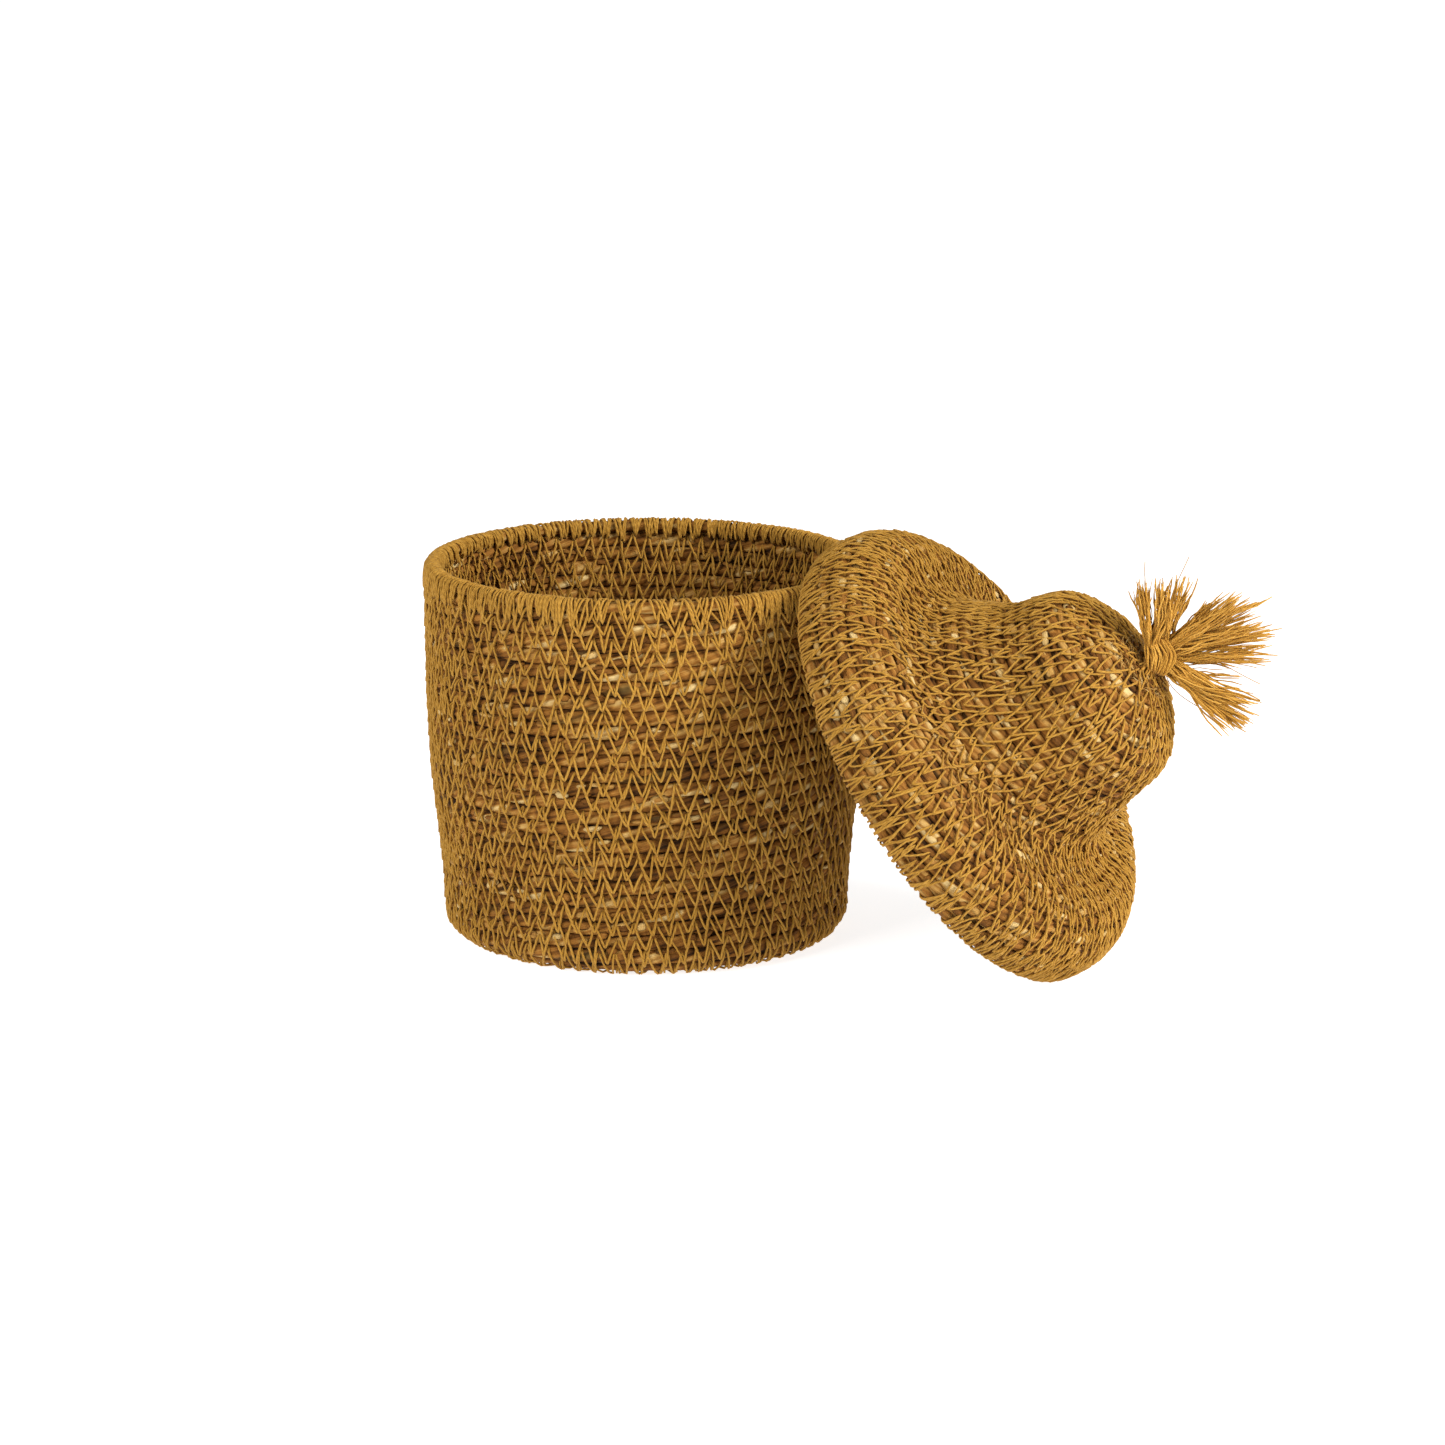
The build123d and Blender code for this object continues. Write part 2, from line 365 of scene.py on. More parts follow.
def zigzag(line, path, stitch, side, seed):
    # thread laid in a V over each joint between two courses; its tips dive into the rope
    dice = np.random.default_rng(seed)
    pitch = path["pitch"]
    start = path["phi"][np.searchsorted(path["middle"], path["from"] + stitch["skip"] * pitch)]
    stop = (path["to"] - path["from"] - stitch["stopShort"] * pitch) / pitch * 2 * math.pi
    phi = np.linspace(start, stop, 60000)
    joint = path["from"] + pitch * phi / (2 * math.pi)
    radius = onMeridian(line, joint)[0][:, 0]
    run = np.r_[0, np.cumsum((radius[1:] + radius[:-1]) / 2 * np.diff(phi))]
    legs = int(run[-1] / (stitch["period"] / 2))
    even = np.arange(legs + 1)
    drift = 1 + stitch["drift"] * (tableNoise(even / 23.0, 3, seed) - 0.5)
    at = np.cumsum(drift)
    at = at / at[-1] * run[-1]
    low = even % 2 == 0
    stray = stitch["strayAlong"] * dice.normal(size=legs + 1)
    at = at + stitch["period"] * (np.where(low, stitch["lean"], 0) + stray)
    at = np.clip(at, 0, run[-1])
    tipPhi = np.interp(at, run, phi)
    tipS = path["from"] + pitch * tipPhi / (2 * math.pi)
    stray = 1 + stitch["strayAcross"] * dice.normal(size=legs + 1)
    reach = np.where(low, -stitch["down"], stitch["up"]) * stray
    tipS = tipS + reach * pitch
    t = np.array(stitch["samples"])[None, :]
    a, b = np.arange(legs)[:, None], np.arange(1, legs + 1)[:, None]
    lowFirst = low[:-1][:, None]
    u = np.where(lowFirst, 1 - t, t)          # runs from the upper tip to the lower one
    ease = (u - 0.07 * u ** 7) / 0.93
    sUp = np.where(lowFirst, tipS[b], tipS[a])
    sLow = np.where(lowFirst, tipS[a], tipS[b])
    s = sUp + (sLow - sUp) * ease
    p = tipPhi[a] + (tipPhi[b] - tipPhi[a]) * t
    bow = stitch["bow"] * dice.normal(size=(legs, 1)) * np.sin(math.pi * t)
    p = p + bow / np.maximum(radius.mean(), 0.02)
    course = (s - path["from"]) / pitch - p / (2 * math.pi)
    across = np.abs(2 * (course - np.floor(course)) - 1)
    height = stitch["ropeHalf"] * (1 - stitch["sink"] * across ** 3) + stitch["radius"] * 0.55
    height = height + stitch["swell"] * u ** 2 + stitch["slack"] * dice.random((legs, 1))
    dive = np.exp(-(u / stitch["topWide"]) ** 2) * stitch["diveTop"]
    dive = dive + np.exp(-((1 - u) / stitch["lowWide"]) ** 2) * stitch["diveLow"]
    height = height - dive
    s, p, height = s.ravel(), p.ravel(), height.ravel()
    place, way = onMeridian(line, s)
    normal = np.stack([way[:, 1], -way[:, 0]], 1) * side
    inside = place + normal * height[:, None]
    inside[:, 0] = np.maximum(inside[:, 0], 0.0006)
    up = np.stack([normal[:, 0] * np.cos(p), normal[:, 0] * np.sin(p), normal[:, 1]], 1)
    wire = turned(inside, p)
    tone = 0.42 + 0.28 * np.repeat(tableNoise(np.arange(legs) / 3.0, 5, seed), t.size)
    thick = stitch["radius"] * (0.9 + 0.2 * np.repeat(dice.random(legs), t.size))
    return wire, up, tone, thick


def inParts(count, most):
    # even runs of rings that share their end ring, so no part passes the most that it may hold
    parts = max(1, math.ceil(count / most))
    edges = np.linspace(0, count - 1, parts + 1).astype(int)
    return list(zip(edges[:-1], edges[1:] + 1))


def layCoil(line, coil, rope, place, body, seed, replaces):
    # one spiral of rope, cut into its named stretches at the marks
    path = coilPath(line, coil["from"], coil["to"], coil["pitch"], rope["step"])
    grid, tone = ropeGrid(line, path, rope, seed)
    tone = tone + coil["lift"]
    grid = place(grid)
    marks = [coil["from"] - 1, *coil["marks"], coil["to"] + 1]
    for k, name in enumerate(coil["names"]):
        # a named stretch ends where the meridian passes its mark
        inside = np.flatnonzero((path["middle"] >= marks[k]) & (path["middle"] <= marks[k + 1]))
        parts = inParts(len(inside) + 1, int(mostTriangles / (grid.shape[1] * 2)))
        for n, (a, b) in enumerate(parts):
            pick = slice(inside[0] + a, min(inside[0] + b, len(path["run"])))
            tag = name if len(parts) == 1 else f"{name}_{n + 1}"
            nodes = replaces[k] if n == 0 else ()
            addPiece(tag, grid[None, pick], body, coilMaterial, path["run"][pick],
                     None, tone[None, pick], nodes)
    return path


def layStitches(name, line, path, stitch, side, place, placeWay, body, seed):
    # the zigzag as one thread, swept in parts that share their end ring
    wire, up, tone, thick = zigzag(line, path, stitch, side, seed)
    wire, up = place(wire), placeWay(up)
    wire[:, 2] = np.maximum(wire[:, 2], thick)   # nothing below the floor
    run = np.r_[0, np.cumsum(np.linalg.norm(np.diff(wire, axis=0), axis=1))]
    parts = inParts(len(wire), int(mostTriangles / (stitch["around"] * 2)))
    for n, (a, b) in enumerate(parts):
        grid = sweep(wire[None, a:b], up[None, a:b], thick[None, a:b], stitch["around"])
        tag = name if len(parts) == 1 else f"{name}_{n + 1}"
        addPiece(tag, grid, body, stitchMaterial,
                 run[None, a:b], None, tone[None, a:b, None])


wraps = {
    "innerVary": 0.25, "outerVary": 0.32, "outerLimits": (0.35, 1.9), "slack": 0.0005,
    "splayOver": 0.003, "tuckInside": 0.0016, "tuckOutside": 0.0004,
}


def overcast(name, ring, place, placeWay, body, seed, replaces):
    # thread over the outermost course: legs run from a tip on the inside, round the course, to a tip on the
    # outside, and back, several times round the ring
    dice = np.random.default_rng(seed)
    legs = ring["legs"]
    even = np.arange(legs + 1)
    phi = even * 2 * math.pi * ring["passes"] / legs
    away = (phi - ring["sparseAt"] + math.pi) % (2 * math.pi) - math.pi
    phi = phi + ring["sparse"] * away * np.exp(-(away / ring["sparseWide"]) ** 2)
    phi = phi + dice.normal(size=legs + 1) * ring["stray"]
    inner = ring["inside"] * (1 + wraps["innerVary"] * dice.normal(size=(legs, 1)))
    vary = 1 + wraps["outerVary"] * dice.normal(size=(legs + 1, 1))
    outer = ring["outside"] * np.clip(vary, *wraps["outerLimits"])
    outer = np.where(even[:-1, None] % 2 == 0, outer[1:], outer[:-1])
    t = np.linspace(0, 1, ring["samples"] + 1)[None, :-1]
    u = np.where(even[:-1, None] % 2 == 0, t, 1 - t)     # from the inside tip to the outside tip
    radius = ring["core"] + ring["thread"] * 0.7 + wraps["slack"] * dice.random((legs, 1))
    length = inner + math.pi * radius + outer
    walk = u * length
    angle = np.clip(math.pi - (walk - inner) / radius, 0, math.pi)
    x, z = radius * np.cos(angle), radius * np.sin(angle)
    below = np.maximum(inner - walk, 0) + np.maximum(walk - inner - math.pi * radius, 0)
    z = z - below
    x = x + np.sign(x) * ring["splay"] * np.clip(below / wraps["splayOver"], 0, 1)
    x = x + np.exp(-(u / 0.05) ** 2) * wraps["tuckInside"]
    x = x - np.exp(-((1 - u) / 0.03) ** 2) * wraps["tuckOutside"]
    centre = np.array(ring["centre"])
    turn = (phi[:-1, None] + (phi[1:] - phi[:-1])[:, None] * t).ravel()
    flat = centre + np.stack([x, ring["side"] * z], -1).reshape(-1, 2)
    normal = np.stack([np.cos(angle), ring["side"] * np.sin(angle)], -1).reshape(-1, 2)
    wire = place(turned(flat, turn))
    up = placeWay(np.stack([normal[:, 0] * np.cos(turn), normal[:, 0] * np.sin(turn), normal[:, 1]], 1))
    thick = ring["thread"] * (0.9 + 0.2 * np.repeat(dice.random(legs), ring["samples"]))
    wire[:, 2] = np.maximum(wire[:, 2], thick)
    tone = 0.40 + 0.3 * np.repeat(dice.random(legs), ring["samples"])
    run = np.r_[0, np.cumsum(np.linalg.norm(np.diff(wire, axis=0), axis=1))]
    grid = sweep(wire[None], up[None], thick[None], 6)
    addPiece(name, grid, body, stitchMaterial,
             run[None], None, tone[None, :, None], replaces)


def leafFlakes(name, line, span, flake, side, place, body, seed):
    # loose slips of leaf: short flat ribbons that lie along the twist, tucked under at both ends
    dice = np.random.default_rng(seed)
    s0 = span[0] + (span[1] - span[0]) * dice.random(flake["count"] * 4)
    radius = onMeridian(line, s0)[0][:, 0]
    keep = np.flatnonzero(dice.random(s0.size) < radius / radius.max())[:flake["count"]]
    s0, radius = s0[keep], radius[keep]
    pitch = flake["pitch"]
    phi0 = dice.random(s0.size) * 2 * math.pi
    # each slip sits on the crest of its course
    course = np.round((s0 - span[0]) / pitch - phi0 / (2 * math.pi))
    s0 = span[0] + pitch * (course - 0.5 + phi0 / (2 * math.pi))
    s0 = s0 + flake["scatter"] * dice.normal(size=s0.size)
    s0 = np.clip(s0, span[0] + flake["margin"], span[1] - flake["margin"])
    t = np.linspace(-1, 1, 6)[None, :]
    length = (flake["length"] * (0.6 + 0.8 * dice.random(s0.size)))[:, None]
    slope = np.tan(np.radians(flake["slant"] + flake["slantVary"] * dice.normal(size=(s0.size, 1))))
    phi = phi0[:, None] + t * length / 2 / np.maximum(radius, 0.01)[:, None]
    s = s0[:, None] + t * length / 2 * slope
    height = flake["height"] + flake["lift"] * dice.random((s0.size, 1)) - flake["tuck"] * t ** 4
    spot, way = onMeridian(line, s)
    normal = np.stack([way[..., 1], -way[..., 0]], -1) * side
    angle = np.arange(6) / 6 * 2 * math.pi
    wide = flake["width"] * (0.6 + 0.8 * dice.random((s0.size, 1))) / 2 * np.sqrt(1 - 0.88 * t ** 4)
    across = np.cos(angle) * wide[..., None]
    rise = np.sin(angle) * flake["thin"] - flake["arch"] * np.cos(angle) ** 2 + height[..., None]
    flat = spot[..., None, :] + way[..., None, :] * across[..., None]
    flat = flat + normal[..., None, :] * rise[..., None]
    grid = place(turned(flat, phi[..., None]))
    grid[..., 2] = np.maximum(grid[..., 2], 0.0001)
    dull, bright = flake["tone"]
    tone = (dull + (bright - dull) * dice.random(s0.size) ** 2.4)[:, None, None]
    run = t * length / 2 + dice.random((s0.size, 1)) * 3
    addPiece(name, grid, body, coilMaterial, run, None, tone)


core = {"rings": 420, "around": 16, "turns": 6, "bundles": 5}


def coreRing(name, ring, place, body, replaces):
    # the course inside the binding, a twisted rope that closes on itself
    phi = np.linspace(0, 2 * math.pi, core["rings"])
    angle = np.arange(core["around"]) / core["around"] * 2 * math.pi
    twist = phi * core["turns"] / (2 * math.pi)
    turn = angle[None] / (2 * math.pi) - twist[:, None]
    bundle = np.floor(turn * core["bundles"])
    bulge = np.abs(np.sin(math.pi * (turn * core["bundles"] - bundle))) ** 0.6
    wave = 0.5 + 0.5 * np.sin(phi[:, None] * 37 + bundle * 2.2) * np.sin(phi[:, None] * 11 + bundle)
    radius = ring["core"] * (1 - 0.12 * (1 - bulge) - 0.08 * wave)
    flat = np.array(ring["centre"]) + radius[..., None] * np.stack([np.cos(angle), np.sin(angle)], 1)[None]
    # painted shade: darker in the creases between the bundles
    tone = 0.50 + 0.35 * wave - 0.3 * (1 - bulge)
    addPiece(name, place(turned(flat, phi[:, None]))[None], body, coilMaterial,
             phi * ring["centre"][0], twist, tone[None], replaces)


rope = {
    "half": 2.45 * mm, "bundles": 6, "across": (0.0, 0.3, 0.7), "twistLength": 58 * mm, "leaf": 12 * mm,
    "crease": 0.22, "wander": 0.10, "lumps": 0.12, "pinch": 0.20, "step": 1.45 * mm,
    "drift": 1.5, "driftLength": 0.05, "lumpLength": 0.0042, "biteLength": 0.0031, "overlap": 1.08,
}
zigzagRow = {
    "period": 6.9 * mm, "up": 1.02, "down": 0.78, "lean": 0.08, "drift": 0.5, "skip": 0.9, "stopShort": 0.35,
    "radius": 0.43 * mm, "ropeHalf": 2.25 * mm, "sink": 0.22, "bow": 0.2 * mm, "around": 6,
    "strayAlong": 0.10, "strayAcross": 0.12, "diveTop": 2.0 * mm, "diveLow": 0.3 * mm,
    "samples": (0.0, 0.06, 0.2, 0.45, 0.7, 0.88, 0.95),
    "swell": 0.0003, "slack": 0.0003, "topWide": 0.09, "lowWide": 0.03,
}
fewer = {"around": 4, "samples": (0.0, 0.07, 0.35, 0.65, 0.93)}


basket = {"half": 2.6, "foot": 74.2, "belly": 79.1, "heel": 7.9, "rimCourse": 2.8, "pitch": 5.2 * mm}
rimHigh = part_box("rim_binding")[1]
rimRadius, rimTop = rimHigh.x / mm, rimHigh.z / mm
wallTop = rimTop - 2 * basket["rimCourse"]
flatEnd = basket["foot"] - basket["heel"]
basketLine = meridian(
    [(0, basket["half"]), (flatEnd, basket["half"])],
    arcPoints((flatEnd, basket["heel"]), basket["heel"] - basket["half"], -90, 0),
    curveThrough([(basket["foot"] - basket["half"], basket["heel"]),
                  (basket["belly"] - basket["half"], rimTop / 2),
                  (rimRadius - basket["half"], wallTop)], (0, 1), (0, 1)),
)
flatLength = flatEnd * mm
heelLength = flatLength + (basket["heel"] - basket["half"]) * math.pi / 2 * mm
stay = lambda points: points
basketCoil = {
    "from": 0.0, "to": basketLine["length"] + 0.9 * mm, "pitch": basket["pitch"],
    "names": ["baseRope", "heelRope", "wallRope"], "marks": [flatLength, heelLength], "lift": 0.03,
}
basketPath = layCoil(basketLine, basketCoil, rope, stay, "basket", 11,
                     [("base_coil",), ("heel_coil",), ("wall_coil",)])
layStitches("wallStitchOutside", basketLine, basketPath, zigzagRow, 1, stay, stay, "basket", 21)
layStitches("wallStitchInside", basketLine, basketPath, {**zigzagRow, **fewer}, -1, stay, stay,
            "basket", 31)
rimRing = {
    "centre": ((rimRadius - basket["rimCourse"]) * mm, (rimTop - basket["rimCourse"]) * mm),
    "core": 2.2 * mm, "thread": 0.42 * mm, "legs": 641, "passes": 4, "samples": 14,
    "inside": 3.6 * mm, "outside": 5.6 * mm,
    "stray": 0.010, "sparse": 1.0, "sparseAt": 4.8, "sparseWide": 0.35, "splay": 0.45 * mm, "side": 1,
}
coreRing("rimRope", rimRing, stay, "basket", ("rim_coil",))
overcast("rimBinding", rimRing, stay, stay, "basket", 42, ("rim_binding",))
slips = {
    "count": 900, "length": 5.6 * mm, "width": 2.4 * mm, "height": 2.2 * mm, "tone": (0.30, 1.0),
    "pitch": basket["pitch"], "scatter": 0.9 * mm, "margin": 0.002, "slant": 9, "slantVary": 7,
    "lift": 0.00035, "tuck": 0.0009, "thin": 0.22 * mm, "arch": 0.35 * mm,
}
wallSpan = (heelLength, basketLine["length"])
leafFlakes("wallSlipsOutside", basketLine, wallSpan, slips, 1, stay, "basket", 45)
leafFlakes("wallSlipsInside", basketLine, wallSpan, {**slips, "count": 500}, -1, stay, "basket", 46)
print("basket done")


lid = {
    "radius": 87.1, "skirt": 9.2, "shoulder": 19.2, "knob": 38.3, "knobLevel": 59.6, "crown": 84.7,
    "neck": (45.4, 33.0), "waist": (37.3, 52.0), "brim": [(58.9, 25.4), (51.0, 27.4)],
    "neckMiddle": (40.95, 42.5),
    "dome": [(33.1, 68.4), (25.4, 75.2), (13.5, 80.6)], "crownHole": 1.7, "half": 2.6, "edgeCourse": 2.8,
    "sag": (3.1, -1.1), "tilt": 56.5, "azimuth": -22.3, "pitch": 5.2 * mm,
}
tilt, azimuth = math.radians(lid["tilt"]), math.radians(lid["azimuth"])
level = np.array([math.cos(azimuth), math.sin(azimuth), 0.0])
lidAxis = level * math.sin(tilt) + np.array([0, 0, math.cos(tilt)])
downSlope = level * math.cos(tilt) - np.array([0, 0, math.sin(tilt)])
acrossSlope = np.cross(lidAxis, downSlope)
edgeLow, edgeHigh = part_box("lid_edge_coil")
lidCentre = np.array((edgeLow + edgeHigh) / 2) - lidAxis * lid["edgeCourse"] * mm


def lidWay(way):
    # a direction of the lid's own frame, as it lies
    return way[..., :1] * downSlope + way[..., 1:2] * acrossSlope + way[..., 2:3] * lidAxis


def lidPlace(points):
    # the neck slants to one side and carries the knob with it, then the lid leans
    share = np.clip((points[..., 2:3] / mm - lid["neck"][1]) / (lid["waist"][1] - lid["neck"][1]), 0, 1)
    shift = share * np.array([lid["sag"][0], lid["sag"][1], 0]) * mm
    return lidCentre + lidWay(points + shift)


crest = lid["radius"] - lid["shoulder"]
lidLine = meridian(
    [(lid["radius"] - lid["half"], 2 * lid["edgeCourse"]), (lid["radius"] - lid["half"], lid["skirt"])],
    arcPoints((crest, lid["skirt"]), lid["shoulder"] - lid["half"], 0, 90),
    curveThrough([(crest, lid["skirt"] + lid["shoulder"] - lid["half"]), *lid["brim"], lid["neck"]],
                 (-1, 0), (-0.35, 1)),
    curveThrough([lid["neck"], lid["neckMiddle"], lid["waist"]], (-0.35, 1), (-0.3, 1)),
    curveThrough([lid["waist"], (lid["knob"] - lid["half"], lid["knobLevel"]), *lid["dome"],
                  (lid["crownHole"], lid["crown"] - lid["half"])], (-0.3, 1), (-1, 0)),
)


def lengthAt(line, point):
    # length along the meridian to the place nearest a (radius, height) point
    return line["s"][np.argmin(np.hypot(*(line["p"] - np.array(point) * mm).T))]


lidMarks = [lengthAt(lidLine, (lid["radius"] - lid["half"], lid["skirt"])),
            lengthAt(lidLine, (crest, lid["skirt"] + lid["shoulder"] - lid["half"])),
            lengthAt(lidLine, lid["neck"]), lengthAt(lidLine, lid["waist"])]
lidCoil = {
    "from": -0.9 * mm, "to": lidLine["length"], "pitch": lid["pitch"],
    "names": ["lidSkirtRope", "lidShoulderRope", "lidBrimRope", "lidNeckRope", "lidKnobRope"],
    "marks": lidMarks, "lift": 0.09,
}
lidPath = layCoil(lidLine, lidCoil, rope, lidPlace, "lid", 51,
                  [("lid_skirt_coil",), ("lid_shoulder_coil",), ("lid_brim_coil",), ("lid_neck_coil",),
                   ("lid_knob_coil",)])
lidRow = {
    **zigzagRow, "period": 5.9 * mm, "up": 1.05, "down": 0.72, "radius": 0.40 * mm, "skip": 0.0,
    "stopShort": 0.6, "strayAlong": 0.14, "strayAcross": 0.17,
}
layStitches("lidStitchOutside", lidLine, lidPath, lidRow, 1, lidPlace, lidWay, "lid", 61)
layStitches("lidStitchInside", lidLine, lidPath, {**lidRow, **fewer, "period": 7.0 * mm}, -1,
            lidPlace, lidWay, "lid", 71)
edgeRing = {
    "centre": ((lid["radius"] - lid["edgeCourse"]) * mm, lid["edgeCourse"] * mm), "core": 2.2 * mm,
    "thread": 0.42 * mm, "legs": 361, "passes": 2, "samples": 14, "inside": 5.0 * mm, "outside": 6.0 * mm,
    "stray": 0.012, "sparse": 0.0, "sparseAt": 0.0, "sparseWide": 1.0, "splay": 0.45 * mm, "side": -1,
}
coreRing("lidEdgeRope", edgeRing, lidPlace, "lid", ("lid_edge_coil",))
overcast("lidEdgeBinding", edgeRing, lidPlace, lidWay, "lid", 82, ("lid_edge_binding",))
lidSpan = (0.0, lidLine["length"] - 3 * mm)
leafFlakes("lidSlipsOutside", lidLine, lidSpan, slips, 1, lidPlace, "lid", 85)
leafFlakes("lidSlipsInside", lidLine, lidSpan, {**slips, "count": 300}, -1, lidPlace, "lid", 86)
print("lid done")


yarn = {"shade": (0.26, 0.115, 0.012), "body": (0.50, 0.245, 0.032), "light": (0.66, 0.38, 0.080)}
yarnMaterial = threadMaterial("mustardYarn", yarn, 2, 0.0016)
headLow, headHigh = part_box("tassel_head")
pivot = np.array((headLow + headHigh) / 2)
tassel = {
    # each bunch: its way, length, strands, spread, and where it leaves the gather (mm)
    "inLock": 5, "frayFrom": 0.62, "waves": ((1.6, 0.75, 0.8), (4.5, 0.34, 0.3)),
    "strand": 0.29 * mm, "rings": 24, "rootDepth": 3.4 * mm, "rootSpread": 1.6 * mm,
    "upper": {"bunches": [((-0.06, -0.20, 1.0), 22, 34, 2.0, (-4.2, -1.8, 2.5)),
                          ((0.04, -0.24, 1.0), 23, 52, 2.9, (0.4, -2.0, 3.0)),
                          ((-0.24, -0.15, 1.0), 23, 5, 1.0, (-4.4, -1.2, 2.6)),
                          ((0.30, -0.10, 1.0), 23, 18, 2.0, (2.8, -1.2, 2.6)),
                          ((0.56, -0.16, 0.90), 19, 22, 2.0, (3.6, -1.4, 2.4)),
                          ((0.02, 0.15, 1.0), 19, 18, 2.4, (-0.5, 1.0, 2.4))],
              "node": "tassel_tuft_upper"},
    "middle": {"bunches": [((0.70, -0.20, 0.74), 23, 22, 2.2, (3.6, -1.8, 3.6)),
                           ((0.77, -0.28, 0.62), 29, 28, 2.4, (3.8, -2.2, 3.2)),
                           ((0.85, -0.15, 0.50), 31, 32, 2.6, (4.0, -1.4, 2.0)),
                           ((0.91, -0.28, 0.36), 31, 36, 2.8, (4.2, -2.2, 0.8)),
                           ((0.95, -0.10, 0.23), 32, 34, 2.8, (4.2, -1.4, -0.6)),
                           ((0.98, -0.25, 0.12), 32, 28, 2.6, (4.0, -2.0, -2.0)),
                           ((0.98, 0.05, 0.04), 27, 16, 2.2, (3.6, -1.0, -3.0)),
                           ((0.80, 0.25, 0.40), 26, 18, 2.6, (2.6, 0.8, 0.6))],
               "node": "tassel_tuft_middle"},
    "lower": {"bunches": [((0.92, -0.20, -0.36), 32, 32, 2.5, (2.2, -2.8, -4.6)),
                          ((0.88, -0.12, -0.47), 34, 40, 3.0, (1.0, -2.8, -5.4)),
                          ((0.81, -0.15, -0.60), 32, 24, 2.5, (0.2, -2.4, -5.6)),
                          ((0.86, 0.12, -0.42), 29, 16, 2.4, (1.6, -0.8, -4.6)),
                          ((0.96, -0.20, -0.24), 27, 6, 1.4, (2.8, -1.8, -3.6))],
              "node": "tassel_tuft_lower"},
}


def bezier(points, t):
    # cubic curve through the first and last of four points, pulled by the two between
    a, b, c, d = points
    return a * (1 - t) ** 3 + b * 3 * t * (1 - t) ** 2 + c * 3 * t * t * (1 - t) + d * t ** 3


def makeTuft(name, tuft, seed):
    # cut yarn in bunches: the strands of a bunch keep together, then fray apart near their cut ends
    dice = np.random.default_rng(seed)
    t = np.linspace(0, 1, tassel["rings"])[None, :, None]
    paths, tones, radii = [], [], []
    root = pivot - lidAxis * tassel["rootDepth"]
    for way, length, n, spread, aside in tuft["bunches"]:
        way = np.array(way) / np.linalg.norm(way)
        sideways = np.cross(way, (0.0, 1.0, 0.05))
        sideways /= np.linalg.norm(sideways)
        other = np.cross(sideways, way)
        turnOff = dice.random((n, 1, 1)) * 2 * math.pi
        off = (np.cos(turnOff) * sideways + np.sin(turnOff) * other) * np.sqrt(dice.random((n, 1, 1)))
        # strands cling together in locks of five or so
        lock = np.arange(n) % max(2, n // tassel["inLock"])
        off = off[lock] * 0.8 + off * 0.34
        full = length * mm * (1.06 - 0.34 * dice.random((n, 1, 1)) ** 1.6)
        gather = pivot + np.array(aside) * mm
        start = root + off * tassel["rootSpread"] + 0 * t
        tip = gather + off * 2.1 * mm + way * full
        path = bezier((start, start + lidAxis * 0.004, gather + off * 1.7 * mm, tip), t)
        path = path + off * spread * mm * 0.55 * np.sin(math.pi * np.clip(t * 1.1, 0, 1)) ** 2
        fray = np.clip((t - tassel["frayFrom"]) / 0.38, 0, 1)
        stray = dice.normal(size=(n, 1, 3))
        path = path + (stray * 1.0 + stray[lock] * 1.1) * mm * fray ** 1.6
        # a shared sway for the bunch and a kink of its own for each strand
        sway = np.sin(2 * math.pi * (t * 0.8 + dice.random()))
        path = path + sideways * 0.7 * mm * sway * t
        for waves, size, share in tassel["waves"]:
            phase = dice.random((n, 1, 2)) * 2 * math.pi
            phase = phase[lock] * share + phase * (1 - share)
            rate = dice.random((n, 1, 1))
            rate = rate[lock] * share + rate * (1 - share)
            wave = np.sin(2 * math.pi * waves * t * (0.8 + 0.4 * rate) + phase)
            kink = (sideways * wave[..., :1] + other * wave[..., 1:]) * size * mm
            path = path + kink * np.clip(t * 1.6 - 0.3, 0, 1)
        paths.append(path)
        tones.append(0.28 + 0.4 * dice.random(n))
        radii.append(np.where(dice.random(n) < 0.12, 0.55, 0.85 + 0.3 * dice.random(n)))
    path, tone, radius = np.concatenate(paths), np.concatenate(tones), np.concatenate(radii)
    taper = np.where(np.linspace(0, 1, tassel["rings"]) > 0.98, 0.55, 1.0)
    thick = tassel["strand"] * radius[:, None] * taper
    grid = sweep(path, np.array([0.05, -1.0, 0.02]) + 0 * path, thick, 5)
    run = t[..., 0] * 0.045 + dice.random((len(path), 1))
    addPiece(name, grid, "tassel", yarnMaterial,
             run, None, tone[:, None, None], (tuft["node"],))


def throughPoints(points, rings):
    # smooth open curve through a few points, by chord length
    p = np.array(points)
    chord = np.r_[0, np.cumsum(np.linalg.norm(np.diff(p, axis=0), axis=1))]
    way = np.gradient(p, chord, axis=0)
    x = np.linspace(0, chord[-1], rings)
    k = np.clip(np.searchsorted(chord, x, side="right") - 1, 0, len(p) - 2)
    size = (chord[k + 1] - chord[k])[:, None]
    t = ((x - chord[k])[:, None]) / size
    rise = t * t * (3 - 2 * t)
    bend = way[k] * t * (1 - t) ** 2 - way[k + 1] * t * t * (1 - t)
    return p[k] + (p[k + 1] - p[k]) * rise + bend * size


